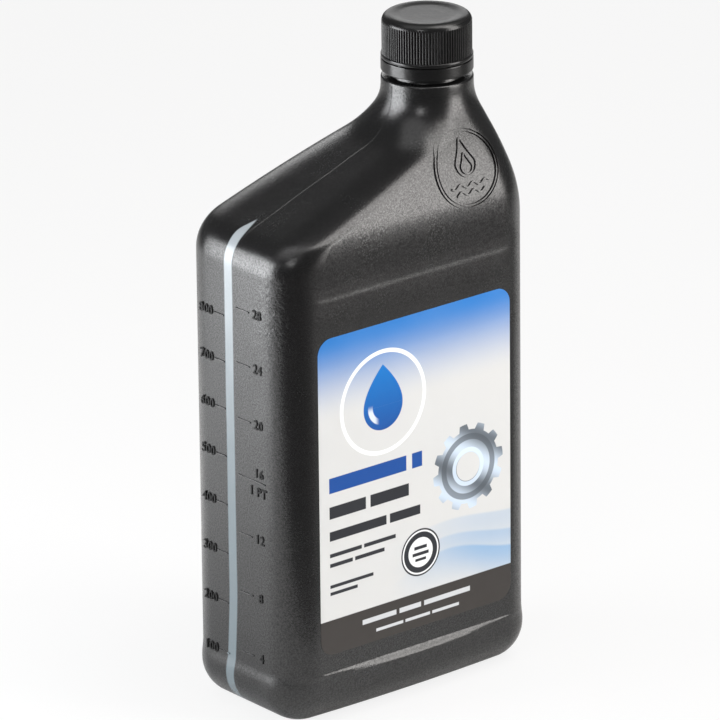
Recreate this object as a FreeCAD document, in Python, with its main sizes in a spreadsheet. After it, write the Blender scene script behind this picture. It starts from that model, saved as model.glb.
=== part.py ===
import FreeCAD, Part
import math
import os
import Sketcher

# Motor oil bottle, one US quart: a flat blow-moulded bottle with its neck near one
# end, a ribbed screw cap with a sealing disc, the cap's tamper band and a front label.
# Millimetres, +Z up. The origin is the middle of the base. The broad faces look along
# -Y and +Y, and the neck stands towards +X.

SIZES = [
    # Walls
    ("body_width", 109.4, "walls, narrow face to narrow face"),
    ("body_depth", 58.4, "walls, broad face to broad face"),
    ("body_corner", 14.0, "plan radius of the walls' upright corners"),
    ("wall_top", 162.3, "top of the -X wall, where the long slope starts"),
    ("skin", 0.9, "blown wall, everywhere below the neck"),
    # Foot
    ("foot_flare", 0.8, "how far the foot stands out past each narrow face"),
    ("foot_bow", 1.1, "how far the foot's middle stands out past each broad face"),
    ("foot_fall", 1.415, "how far the foot's broad faces fall back towards their corners"),
    ("foot_corner", 14.3, "plan radius of the foot's upright corners"),
    ("foot_round", 13.4, "radius of the edge between foot and base"),
    ("foot_rise", 17.0, "height where the foot steps in to the walls"),
    ("step_rise", 2.6, "height of that step"),
    # Base
    ("push_up_rise", 2.0, "height of the hollow under the base"),
    ("push_up_margin", 5.0, "flat ring between that hollow and the rounded edge"),
    ("push_up_corner", 8.0, "corner radius of that hollow"),
    ("pinch_rise", 1.0, "height of the pinch-off channel under the base"),
    ("pinch_radius", 26.0, "radius of that channel"),
    # Label panels
    ("panel_low_gap", 0.3, "plain wall between the foot's step and the flat label panels"),
    ("panel_high_gap", 8.3, "plain wall between the panels and the top of the -X wall"),
    ("panel_sink", 0.3, "how far a panel lies below its broad face"),
    # Shoulder: a long slope at -X, a steep one at +X, an even one front and back. Each is a
    # bend, a straight stretch and a cove; its curve is how much of the room the arcs take,
    # from 0 (all straight) to 1 (no straight stretch), and its split is the bend's share.
    ("shoulder_rise", 46.4, "from the top of the -X wall to the round collar"),
    ("steep_delay", 2.9, "how much higher the +X wall ends"),
    ("broad_delay", 10.3, "how much higher the broad walls end"),
    ("slope_curve", 0.5887, "curve of the long slope"),
    ("slope_split", 0.4054, "split of the long slope"),
    ("steep_curve", 0.7831, "curve of the steep side"),
    ("steep_split", 0.6926, "split of the steep side"),
    ("broad_curve", 0.9042, "curve of the front and back"),
    ("broad_split", 0.6773, "split of the front and back"),
    ("neck_flat", 0.35, "half the short flats in the shoulder's last, nearly round section"),
    # Neck
    ("neck_inset", 23.9, "neck's axis from the +X wall"),
    ("finish_radius", 12.6, "neck finish, outside of its wall"),
    ("finish_wall", 1.85, "thickness of that wall"),
    ("finish_rise", 19.3, "from the collar to the sealing lip"),
    ("thread_depth", 1.2, "how far the thread stands out from the finish"),
    ("lip_chamfer", 0.5, "chamfer around the lip"),
    ("collar_ledge", 3.26, "how far the collar stands out from the finish"),
    ("collar_rise", 3.4, "height of the collar"),
    ("collar_round", 0.8, "chamfered edge of the collar"),
    ("bead_depth", 1.7, "bead that holds the tamper band down, from the finish"),
    ("bead_rise", 1.6, "height of the bead, which slopes on top"),
    ("bead_edge", 0.5, "upright edge of the bead"),
    # Cap
    ("cap_wall", 1.33, "cap's wall, thread room to rib crests"),
    ("thread_gap", 0.3, "room between the neck's thread and the cap's wall"),
    ("cap_top_wall", 1.3, "thickness of the cap's top"),
    ("cap_top_round", 2.0, "bevelled rounding around the cap's top"),
    ("dish_margin", 3.83, "from the rib crests in to the dished field on top"),
    ("dish_sink", 0.4, "depth of that field"),
    ("flange_depth", 0.37, "how far the smooth rim at the open end stands out"),
    ("flange_rise", 1.3, "height of that rim"),
    ("rib_count", 96, "ribs around the cap"),
    ("rib_sink", 0.42, "depth of the grooves between the ribs"),
    ("rib_share", 0.62, "width of a groove as a share of the ribs' pitch"),
    ("rib_margin", 0.2, "plain ring above and below the ribs"),
    # Sealing disc
    ("liner_rise", 1.0, "thickness of the sealing disc"),
    ("liner_gap", 0.3, "room around the sealing disc in the cap"),
    # Tamper band
    ("band_lift", 2.1, "tamper band's lower edge above the collar"),
    ("band_rise", 4.1, "height of the tamper band"),
    ("band_depth", 0.42, "how far the tamper band stands out past the cap's ribs"),
    ("band_gap", 0.3, "gap between the cap and its tamper band"),
    ("hook_rise", 0.7, "height of the inner hook at the band's lower edge"),
    ("hook_grip", 0.7, "how far that hook reaches in under the bead"),
    ("bead_gap", 0.3, "room between the bead and the tamper band"),
    # Label
    ("label_left_gap", 12.4, "from the -X wall to the label"),
    ("label_right_gap", 12.2, "from the +X wall to the label"),
    ("label_low_gap", 5.8, "from the panel's lower edge to the label"),
    ("label_high_gap", 13.7, "from the label to the panel's upper edge"),
    ("label_corner", 5.7, "label's corner radius"),
    ("label_film", 0.12, "label's thickness"),
]

# Places and radii that follow from the sizes.
WORKED_OUT = [
    ("foot_width", "Sizes.body_width + 2 * Sizes.foot_flare"),
    ("foot_depth", "Sizes.body_depth + 2 * Sizes.foot_bow"),
    ("foot_chord", "Worked.foot_width / 2 - Sizes.foot_corner"),
    ("bow_radius", "(Worked.foot_chord^2 + Sizes.foot_fall^2) / (2 * Sizes.foot_fall)"),
    ("panel_low", "Sizes.foot_rise + Sizes.step_rise + Sizes.panel_low_gap"),
    ("panel_high", "Sizes.wall_top - Sizes.panel_high_gap"),
    ("neck_x", "Sizes.body_width / 2 - Sizes.neck_inset"),
    ("neck_base", "Sizes.wall_top + Sizes.shoulder_rise"),
    ("collar_top", "Worked.neck_base + Sizes.collar_rise"),
    ("collar_radius", "Sizes.finish_radius + Sizes.collar_ledge"),
    ("lip_top", "Worked.collar_top + Sizes.finish_rise"),
    ("bore_radius", "Sizes.finish_radius - Sizes.finish_wall"),
    ("band_low", "Worked.collar_top + Sizes.band_lift"),
    ("bead_low", "Worked.band_low + Sizes.hook_rise + Sizes.bead_gap"),
    ("bead_radius", "Sizes.finish_radius + Sizes.bead_depth"),
    ("hook_radius", "Worked.bead_radius - Sizes.hook_grip"),
    ("cap_bore", "Sizes.finish_radius + Sizes.thread_depth + Sizes.thread_gap"),
    ("cap_radius", "Worked.cap_bore + Sizes.cap_wall"),
    ("cap_low", "Worked.band_low + Sizes.band_rise + Sizes.band_gap"),
    ("cap_ceiling", "Worked.lip_top + Sizes.liner_rise - Worked.cap_low"),
    ("cap_rise", "Worked.cap_ceiling + Sizes.cap_top_wall"),
    ("dish_radius", "Worked.cap_radius - Sizes.dish_margin"),
    ("flange_radius", "Worked.cap_radius + Sizes.flange_depth"),
    ("band_radius", "Worked.cap_radius + Sizes.band_depth"),
    ("label_left", "Sizes.body_width / 2 - Sizes.label_left_gap"),
    ("label_right", "Sizes.body_width / 2 - Sizes.label_right_gap"),
    ("label_low", "Worked.panel_low + Sizes.label_low_gap"),
    ("label_high", "Worked.panel_high - Sizes.label_high_gap"),
]

# Where the shoulder's sections lie, by share of the long slope's own outline.
STATIONS = [
    ("bend", 0.0), ("bend", 0.25), ("bend", 0.5), ("bend", 0.75), ("bend", 1.0),
    ("slope", 0.25), ("slope", 0.5), ("slope", 0.75),
    ("cove", 0.0), ("cove", 0.35), ("cove", 0.7), ("cove", 1.0),
]
# Where the rounded foot's sections lie, by angle around its edge.
TURNS = [0, 22.5, 45, 67.5, 90]
# The inside makes do with fewer sections, but not in the hollow cove below the neck.
INSIDE_STATIONS = STATIONS[:8:2] + STATIONS[8:]
INSIDE_TURNS = [0, 30, 60, 90]
# The corners' radius grows slowly at first on its way up the shoulder.
CORNER_GROWTH = 1.4

doc = FreeCAD.newDocument("OilBottle")
sheet = doc.addObject("Spreadsheet::Sheet", "Sizes")
for row, (alias, value, note) in enumerate(SIZES, start=1):
    sheet.set(f"A{row}", note)
    sheet.set(f"B{row}", str(value))
    sheet.setAlias(f"B{row}", alias)
doc.recompute()
worked = doc.addObject("App::VarSet", "Worked")
for name, expression in WORKED_OUT:
    worked.addProperty("App::PropertyFloat", name)
    worked.setExpression(name, expression)
    doc.recompute()


def number(expression):
    """What an expression on the document comes to now, as a plain float."""
    found = sheet.evalExpression(expression)
    return float(getattr(found, "Value", found))


def new_body(label):
    body = doc.addObject("PartDesign::Body", label)
    body.Label = label
    return body


def new_sketch(body, name, role, **offset):
    """A sketch on one of a body's origin planes, shifted in the plane's own x, y, z."""
    sketch = body.newObject("Sketcher::SketchObject", name)
    planes = {item.Role: item for item in body.Origin.OriginFeatures}
    sketch.AttachmentSupport = (planes[role], [""])
    sketch.MapMode = "FlatFace"
    for direction, expression in offset.items():
        sketch.setExpression(f"AttachmentOffset.Base.{direction}", expression)
    return sketch


def dimension(sketch, kind, *places, expression):
    """A driving dimension whose value is an expression."""
    index = sketch.addConstraint(Sketcher.Constraint(kind, *places, number(expression)))
    sketch.setExpression(f"Constraints[{index}]", expression)


def vector(x, y, z=0.0):
    return FreeCAD.Vector(x, y, z)


def rounded_section(sketch, left, right, deep, corner, bow_radius=None):
    """A rounded rectangle about the sketch's X axis, drawn anticlockwise from its front.

    left, right and deep are how far it reaches from the sketch's origin. With a bow
    radius, the broad sides are wide arcs and left and right are alike.
    """
    west, east, north, radius = -number(left), number(right), number(deep), number(corner)
    tilt = 0.0
    corner_y = north - radius
    if bow_radius:
        bow = number(bow_radius)
        tilt = math.asin((east - radius) / (bow - radius))
        corner_y = (bow - radius) * math.cos(tilt) - (bow - north)
    up = vector(0, 0, 1)

    def arc(centre, arc_radius, start, end):
        return Part.ArcOfCircle(Part.Circle(centre, up, arc_radius), start, end)

    def broad_side(turn):
        if bow_radius:
            centre = vector(0, (bow - north) * math.cos(turn))
            return arc(centre, bow, turn - math.pi / 2 - tilt, turn - math.pi / 2 + tilt)
        ends = [vector(west + radius, -north), vector(east - radius, -north)]
        if turn:
            ends = [vector(east - radius, north), vector(west + radius, north)]
        return Part.LineSegment(*ends)

    quarter = math.pi / 2
    sketch.addGeometry([
        broad_side(0.0),
        arc(vector(east - radius, -corner_y), radius, tilt - quarter, 0.0),
        Part.LineSegment(vector(east, -corner_y), vector(east, corner_y)),
        arc(vector(east - radius, corner_y), radius, 0.0, quarter - tilt),
        broad_side(math.pi),
        arc(vector(west + radius, corner_y), radius, quarter + tilt, math.pi),
        Part.LineSegment(vector(west, corner_y), vector(west, -corner_y)),
        arc(vector(west + radius, -corner_y), radius, math.pi, 3 * quarter - tilt),
    ], False)
    for side in range(8):
        sketch.addConstraint(Sketcher.Constraint("Tangent", side, 2, (side + 1) % 8, 1))
    for other in (3, 5, 7):
        sketch.addConstraint(Sketcher.Constraint("Equal", 1, other))
    for narrow in (2, 6):
        sketch.addConstraint(Sketcher.Constraint("Vertical", narrow))
    dimension(sketch, "Radius", 1, expression=corner)
    dimension(sketch, "DistanceX", -1, 1, 2, 1, expression=right)
    dimension(sketch, "DistanceX", 6, 1, -1, 1, expression=left)
    if bow_radius:
        for broad in (0, 4):
            sketch.addConstraint(Sketcher.Constraint("PointOnObject", broad, 3, -2))
        sketch.addConstraint(Sketcher.Constraint("Equal", 0, 4))
        dimension(sketch, "Radius", 0, expression=bow_radius)
        middle = f"({bow_radius}) - ({deep})"
        dimension(sketch, "DistanceY", -1, 1, 0, 3, expression=middle)
        dimension(sketch, "DistanceY", 4, 3, -1, 1, expression=middle)
    else:
        for broad in (0, 4):
            sketch.addConstraint(Sketcher.Constraint("Horizontal", broad))
        dimension(sketch, "DistanceY", 0, 1, -1, 1, expression=deep)
        dimension(sketch, "DistanceY", -1, 1, 4, 1, expression=deep)


def outline(sketch, points):
    """A closed polygon through points given as pairs of expressions, each one dimensioned."""
    first = sketch.GeometryCount
    corners = [vector(number(across), number(along)) for across, along in points]
    count = len(corners)
    for index in range(count):
        sketch.addGeometry(Part.LineSegment(corners[index], corners[(index + 1) % count]), False)
    for index, (across, along) in enumerate(points):
        line = first + index
        after = first + (index + 1) % count
        sketch.addConstraint(Sketcher.Constraint("Coincident", line, 2, after, 1))
        for kind, axis, expression in (("DistanceX", -2, across), ("DistanceY", -1, along)):
            if expression == "0":
                sketch.addConstraint(Sketcher.Constraint("PointOnObject", line, 1, axis))
            else:
                dimension(sketch, kind, -1, 1, line, 1, expression=expression)


def turned(body, name, points, **offset):
    """A full revolution of a profile given in radius and height."""
    sketch = new_sketch(body, name + "_profile", "XZ_Plane", **offset)
    outline(sketch, points)
    turn = body.newObject("PartDesign::Revolution", name)
    turn.Profile = sketch
    turn.ReferenceAxis = (sketch, ["V_Axis"])
    turn.Angle = 360
    return turn


def padded(body, name, sketch, length):
    pad = body.newObject("PartDesign::Pad", name)
    pad.Profile = sketch
    pad.setExpression("Length", length)
    return pad


def lofted(body, kind, name, sketches):
    loft = body.newObject("PartDesign::" + kind, name)
    loft.Profile = sketches[0]
    loft.Sections = sketches[1:]
    loft.Ruled = True
    return loft


def through_cut(body, name, sketch):
    """A pocket through the whole body, both ways from its sketch."""
    pocket = body.newObject("PartDesign::Pocket", name)
    pocket.Profile = sketch
    pocket.Type = "ThroughAll"
    pocket.SideType = "Symmetric"
    return pocket


def shoulder_values(name, skin, stations):
    """The shoulder's sections, worked out from the sizes and kept as named values.

    Each outline is an upright wall, a bend, a straight slope and a cove into the neck.
    Its reach is taken from the neck's axis, and skin sets it inwards all along.
    """
    values = doc.addObject("App::VarSet", name)

    def keep(kind, label, expression):
        values.addProperty("App::Property" + kind, label)
        values.setExpression(label, expression)
        doc.recompute()
        return f"{name}.{label}"

    neck = keep("Float", "neck", f"Worked.collar_radius - {skin}")
    walls = {
        "slope": ("Sizes.body_width - Sizes.neck_inset", "Sizes.wall_top"),
        "steep": ("Sizes.neck_inset", "Sizes.wall_top + Sizes.steep_delay"),
        "broad": ("Sizes.body_depth / 2", "Sizes.wall_top + Sizes.broad_delay"),
    }
    found = {}
    for side, (wall_expression, start_expression) in walls.items():
        wall = keep("Float", f"{side}_wall", f"{wall_expression} - {skin}")
        start = keep("Float", f"{side}_start", start_expression)
        rise = keep("Float", f"{side}_rise", f"Worked.neck_base - {start}")
        drop = keep("Float", f"{side}_drop", f"{wall} - {neck}")
        room = keep("Float", f"{side}_room", f"({rise}^2 + {drop}^2) / (2 * {drop})")
        arcs = f"Sizes.{side}_curve * {room}"
        bend = keep("Float", f"{side}_bend", f"{arcs} * Sizes.{side}_split - {skin}")
        cove = keep("Float", f"{side}_cove", f"{arcs} * (1 - Sizes.{side}_split) + {skin}")
        run = keep("Float", f"{side}_run", f"{neck} + {cove} - {wall} + {bend}")
        span = f"sqrt({rise}^2 + {run}^2)"
        lean = keep("Angle", f"{side}_lean", f"atan2({rise}; {run}) - acos(({bend} + {cove}) / {span})")
        bend_end = keep("Float", f"{side}_bend_end", f"{start} + {bend} * sin({lean})")
        cove_start = keep("Float", f"{side}_cove_start", f"Worked.neck_base - {cove} * sin({lean})")
        found[side] = (start, wall, bend, cove, lean, bend_end, cove_start)

    def reach(side, height):
        start, wall, bend, cove, lean, bend_end, cove_start = found[side]
        on_bend = f"{wall} - {bend} + sqrt(abs({bend}^2 - ({height} - {start})^2))"
        on_slope = f"{wall} - {bend} * (1 - cos({lean})) - ({height} - {bend_end}) * tan({lean})"
        on_cove = f"{neck} + {cove} - sqrt(abs({cove}^2 - (Worked.neck_base - {height})^2))"
        upper = f"({height} <= {cove_start} ? {on_slope} : {on_cove})"
        lower = f"({height} <= {bend_end} ? {on_bend} : {upper})"
        return f"{height} <= {start} ? {wall} : {lower}"

    start, wall, bend, cove, lean, bend_end, cove_start = found["slope"]
    sections = []
    for index, (stretch, share) in enumerate(stations):
        level = {
            "bend": f"{start} + {bend} * sin({share} * {lean})",
            "slope": f"{bend_end} + {share} * ({cove_start} - {bend_end})",
            "cove": f"Worked.neck_base - {cove} * sin({1 - share} * {lean})",
        }[stretch]
        height = keep("Float", f"height_{index}", level)
        climb = f"max(0; ({height} - {start}) / (Worked.neck_base - {start}))"
        wide = f"(Sizes.body_corner - {skin})"
        section = {"height": height}
        for side in walls:
            section[side] = keep("Float", f"{side}_{index}", reach(side, height))
        growth = f"({neck} - Sizes.neck_flat - {wide}) * {climb}^{CORNER_GROWTH}"
        section["corner"] = keep("Float", f"corner_{index}", f"{wide} + {growth}")
        sections.append(section)
    return sections


def vessel(label, skin, turns, stations, neck_profile):
    """The bottle's form, set inwards by skin: foot, walls, shoulder, neck and panels."""
    body = new_body(label)
    half_width = f"Worked.foot_width / 2 - {skin}"
    half_depth = f"Worked.foot_depth / 2 - {skin}"
    wall_width = f"Sizes.body_width / 2 - {skin}"
    wall_depth = f"Sizes.body_depth / 2 - {skin}"
    wall_corner = f"Sizes.body_corner - {skin}"

    def foot_section(name, height, inset="0"):
        sketch = new_sketch(body, name, "XY_Plane", z=height)
        wide, deep = f"{half_width} - {inset}", f"{half_depth} - {inset}"
        corner = f"Sizes.foot_corner - {skin} - {inset}"
        bow = f"Worked.bow_radius - {skin} - {inset}"
        rounded_section(sketch, wide, wide, deep, corner, bow)
        return sketch

    def wall_section(name, height):
        sketch = new_sketch(body, name, "XY_Plane", z=height)
        rounded_section(sketch, wall_width, wall_width, wall_depth, wall_corner)
        return sketch

    edge = f"(Sizes.foot_round - {skin})"
    bands = []
    for turn in turns:
        height = f"{skin} + {edge} * (1 - cos({turn}))"
        inset = f"{edge} * (1 - sin({turn}))"
        bands.append(foot_section(f"foot_edge_{len(bands)}", height, inset))
    lofted(body, "AdditiveLoft", "foot_edge", bands)
    plain = foot_section("foot_plan", "Sizes.foot_round")
    padded(body, "foot", plain, "Sizes.foot_rise - Sizes.foot_round")
    step_top = "Sizes.foot_rise + Sizes.step_rise"
    lofted(body, "AdditiveLoft", "step",
           [foot_section("step_low", "Sizes.foot_rise"), wall_section("step_high", step_top)])
    padded(body, "walls", wall_section("wall_plan", step_top), f"Sizes.wall_top - ({step_top})")

    sketches = []
    for index, section in enumerate(shoulder_values(label + "_shoulder", skin, stations)):
        sketch = new_sketch(body, f"shoulder_{index}", "XY_Plane",
                            x="Worked.neck_x", z=section["height"])
        rounded_section(sketch, section["slope"], section["steep"], section["broad"], section["corner"])
        sketches.append(sketch)
    lofted(body, "AdditiveLoft", "shoulder", sketches)
    turned(body, "neck", neck_profile, x="Worked.neck_x")

    face = f"{wall_depth} - Sizes.panel_sink"
    clear = "Worked.foot_depth / 2"
    splay = f"({clear} - ({face}))"
    panels = new_sketch(body, "panel_profile", "YZ_Plane")
    for sign in ("-", ""):
        outline(panels, [
            (f"{sign}({face})", "Worked.panel_low"),
            (f"{sign}{clear}", f"Worked.panel_low - {splay}"),
            (f"{sign}{clear}", f"Worked.panel_high + {splay}"),
            (f"{sign}({face})", "Worked.panel_high"),
        ])
    through_cut(body, "panels", panels)

    inner = f"- Sizes.foot_round - Sizes.push_up_margin + {skin}"
    hollow = []
    for name, height, taper in (("hollow_low", skin, "0"),
                                ("hollow_high", f"{skin} + Sizes.push_up_rise", "Sizes.push_up_rise")):
        sketch = new_sketch(body, name, "XY_Plane", z=height)
        wide = f"Worked.foot_width / 2 {inner} - {taper}"
        deep = f"Worked.foot_depth / 2 {inner} - {taper}"
        rounded_section(sketch, wide, wide, deep, f"Sizes.push_up_corner + {skin} - {taper}")
        hollow.append(sketch)
    lofted(body, "SubtractiveLoft", "push_up", hollow)
    channel = new_sketch(body, "channel_profile", "YZ_Plane")
    channel_radius = f"Sizes.pinch_radius + {skin}"
    depth = number("Sizes.pinch_radius - Sizes.pinch_rise")
    channel.addGeometry(Part.Circle(vector(0, -depth), vector(0, 0, 1), number(channel_radius)), False)
    channel.addConstraint(Sketcher.Constraint("PointOnObject", 0, 3, -2))
    dimension(channel, "Radius", 0, expression=channel_radius)
    dimension(channel, "DistanceY", 0, 3, -1, 1, expression="Sizes.pinch_radius - Sizes.pinch_rise")
    through_cut(body, "pinch_channel", channel)
    return body


def make_bottle():
    """The blown shell: its outside less its inside."""
    outside = vessel("bottle_outside", "0", TURNS, STATIONS, [
        ("0", "Worked.neck_base"),
        ("Worked.collar_radius", "Worked.neck_base"),
        ("Worked.collar_radius", "Worked.collar_top - Sizes.collar_round"),
        ("Worked.collar_radius - Sizes.collar_round", "Worked.collar_top"),
        ("Sizes.finish_radius", "Worked.collar_top"),
        ("Sizes.finish_radius", "Worked.bead_low"),
        ("Worked.bead_radius", "Worked.bead_low"),
        ("Worked.bead_radius", "Worked.bead_low + Sizes.bead_edge"),
        ("Sizes.finish_radius", "Worked.bead_low + Sizes.bead_rise"),
        ("Sizes.finish_radius", "Worked.lip_top - Sizes.lip_chamfer"),
        ("Sizes.finish_radius - Sizes.lip_chamfer", "Worked.lip_top"),
        ("0", "Worked.lip_top"),
    ])
    inside = vessel("bottle_inside", "Sizes.skin", INSIDE_TURNS, INSIDE_STATIONS, [
        ("0", "Worked.neck_base"),
        ("Worked.collar_radius - Sizes.skin", "Worked.neck_base"),
        ("Worked.bore_radius", "Worked.collar_top"),
        ("Worked.bore_radius", "Worked.lip_top + Sizes.lip_chamfer"),
        ("0", "Worked.lip_top + Sizes.lip_chamfer"),
    ])
    bottle = doc.addObject("Part::Cut", "bottle")
    bottle.Label = "bottle"
    bottle.Base = outside
    bottle.Tool = inside
    return bottle


def make_cap():
    """Ribbed screw cap. Its own origin is the middle of its open rim."""
    body = new_body("cap")
    shank = "Sizes.flange_rise + Sizes.flange_depth"
    def on_round(turn):
        """A point of the top's rounding, at an angle up from its widest place."""
        inset = f"Sizes.cap_top_round * (1 - cos({turn}))"
        drop = f"Sizes.cap_top_round * (1 - sin({turn}))"
        return (f"Worked.cap_radius - {inset}", f"Worked.cap_rise - {drop}")

    turned(body, "blank", [
        ("Worked.cap_bore", "0"),
        ("Worked.flange_radius", "0"),
        ("Worked.flange_radius", "Sizes.flange_rise"),
        ("Worked.cap_radius", shank),
        on_round(0),
        on_round(45),
        on_round(90),
        ("Worked.dish_radius + Sizes.dish_sink", "Worked.cap_rise"),
        ("Worked.dish_radius", "Worked.cap_rise - Sizes.dish_sink"),
        ("0", "Worked.cap_rise - Sizes.dish_sink"),
        ("0", "Worked.cap_ceiling"),
        ("Worked.cap_bore", "Worked.cap_ceiling"),
    ])
    groove_plan = new_sketch(body, "groove_plan", "XY_Plane", z=f"{shank} + Sizes.rib_margin")
    half_groove = "Sizes.rib_share * pi * Worked.cap_radius / Sizes.rib_count"
    outline(groove_plan, [
        ("Worked.cap_radius - Sizes.rib_sink", "0"),
        ("Worked.cap_radius + Sizes.rib_sink", f"-2 * {half_groove}"),
        ("Worked.cap_radius + Sizes.rib_sink", f"2 * {half_groove}"),
    ])
    groove = body.newObject("PartDesign::Pocket", "groove")
    groove.Profile = groove_plan
    plain = f"Sizes.cap_top_round + 2 * Sizes.rib_margin + {shank}"
    groove.setExpression("Length", f"Worked.cap_rise - ({plain})")
    groove.Reversed = True
    doc.recompute()
    ribs = body.newObject("PartDesign::PolarPattern", "ribs")
    ribs.Originals = [groove]
    ribs.Axis = (groove_plan, ["N_Axis"])
    ribs.Angle = 360
    ribs.setExpression("Occurrences", "Sizes.rib_count")
    body.Tip = ribs
    seat(body, "Worked.cap_low")
    return body


def seat(item, height):
    """Put a piece on the neck's axis at a height."""
    item.setExpression("Placement.Base.x", "Worked.neck_x")
    item.setExpression("Placement.Base.z", height)


def make_cap_liner():
    """Sealing disc between the cap's ceiling and the lip."""
    disc = doc.addObject("Part::Cylinder", "cap_liner")
    disc.Label = "cap_liner"
    disc.setExpression("Radius", "Worked.cap_bore - Sizes.liner_gap")
    disc.setExpression("Height", "Sizes.liner_rise")
    seat(disc, "Worked.lip_top")
    return disc


def make_tamper_band():
    """Ring that stays on the neck, with a hook under the bead. Origin at its lower edge."""
    body = new_body("tamper_band")
    inside = "Worked.bead_radius + Sizes.bead_gap"
    turned(body, "ring", [
        ("Worked.hook_radius", "0"),
        ("Worked.band_radius", "0"),
        ("Worked.band_radius", "Sizes.band_rise"),
        (inside, "Sizes.band_rise"),
        (inside, "Sizes.hook_rise"),
        ("Worked.hook_radius", "Sizes.hook_rise"),
    ])
    seat(body, "Worked.band_low")
    return body


def make_front_label():
    """Printed film on the front panel."""
    body = new_body("front_label")
    plan = new_sketch(body, "label_plan", "XZ_Plane", y="(Worked.label_low + Worked.label_high) / 2")
    half = "(Worked.label_high - Worked.label_low) / 2"
    rounded_section(plan, "Worked.label_left", "Worked.label_right", half, "Sizes.label_corner")
    padded(body, "film", plan, "Sizes.label_film")
    body.setExpression("Placement.Base.y", "Sizes.panel_sink - Sizes.body_depth / 2")
    return body


PIECES = [make_bottle(), make_cap(), make_cap_liner(), make_tamper_band(), make_front_label()]
doc.recompute()

for item in doc.Objects:
    if "Invalid" in item.State or "Error" in item.State:
        raise RuntimeError(f"{item.Name} failed: {item.State}")
for piece in PIECES:
    if piece.Shape.isNull() or not piece.Shape.isValid():
        raise RuntimeError(f"{piece.Label} has no valid shape")

os.makedirs("parts", exist_ok=True)
for piece in PIECES:
    piece.Shape.exportStep(f"parts/{piece.Label}.step")
    box = piece.Shape.BoundBox
    print(piece.Label, round(piece.Shape.Volume), "mm3", len(piece.Shape.Solids), "solid",
          [round(edge, 2) for edge in (box.XMin, box.YMin, box.ZMin, box.XMax, box.YMax, box.ZMax)])
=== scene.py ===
import math

import bmesh
import bpy
from bpy.props import FloatProperty, FloatVectorProperty, IntProperty, PointerProperty
from mathutils import Matrix, Vector


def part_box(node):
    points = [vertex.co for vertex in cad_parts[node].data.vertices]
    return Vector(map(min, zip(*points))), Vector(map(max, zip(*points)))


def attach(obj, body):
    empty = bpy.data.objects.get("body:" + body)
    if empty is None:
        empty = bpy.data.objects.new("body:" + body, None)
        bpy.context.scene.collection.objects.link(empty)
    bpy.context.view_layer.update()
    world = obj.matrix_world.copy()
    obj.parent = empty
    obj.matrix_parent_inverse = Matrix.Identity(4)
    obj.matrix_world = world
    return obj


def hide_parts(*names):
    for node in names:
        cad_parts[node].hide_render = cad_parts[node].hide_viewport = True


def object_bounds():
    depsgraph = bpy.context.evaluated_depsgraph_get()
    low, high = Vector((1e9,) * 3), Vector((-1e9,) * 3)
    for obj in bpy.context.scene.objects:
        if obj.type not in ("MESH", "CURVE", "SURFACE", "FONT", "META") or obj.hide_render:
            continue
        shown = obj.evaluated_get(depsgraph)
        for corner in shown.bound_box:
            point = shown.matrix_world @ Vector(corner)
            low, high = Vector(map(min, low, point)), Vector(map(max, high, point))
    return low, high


bl_info = {
    "name": "Motor Oil Bottle",
    "version": (1, 0, 0),
    "blender": (4, 5, 0),
    "location": "View3D > Sidebar > Oil Bottle",
    "description": "Dresses a packed motor oil bottle: shell, marks, cap, band and label",
    "category": "Object",
}

# The frame comes first, because the sizes' defaults are measured on it.
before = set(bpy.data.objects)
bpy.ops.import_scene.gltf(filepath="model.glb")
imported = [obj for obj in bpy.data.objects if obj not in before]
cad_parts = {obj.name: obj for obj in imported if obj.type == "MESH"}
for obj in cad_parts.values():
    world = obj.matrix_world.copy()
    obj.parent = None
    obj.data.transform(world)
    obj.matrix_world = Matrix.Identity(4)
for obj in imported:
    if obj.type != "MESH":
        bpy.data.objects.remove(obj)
CAD_LOW, CAD_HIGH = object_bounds()
BOTTLE_LOW, BOTTLE_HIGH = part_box("bottle")
CAP_LOW, CAP_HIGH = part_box("cap")
BAND_LOW, BAND_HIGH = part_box("tamper_band")
NECK_X = (CAP_LOW.x + CAP_HIGH.x) / 2
LIP = BOTTLE_HIGH.z

MM = 0.001


def length(label, text, default):
    """A size in metres, for a property group."""
    return FloatProperty(name=label, description=text, default=default, unit="LENGTH", precision=5)


def colour(label, text, default):
    """A colour, written in linear values, for a property group."""
    return FloatVectorProperty(name=label, description=text, default=default,
                               subtype="COLOR", size=3, min=0.0, max=1.0)


def share(label, text, default):
    """A plain number from 0 to 1, for a property group."""
    return FloatProperty(name=label, description=text, default=default, min=0.0, max=1.0)


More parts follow.
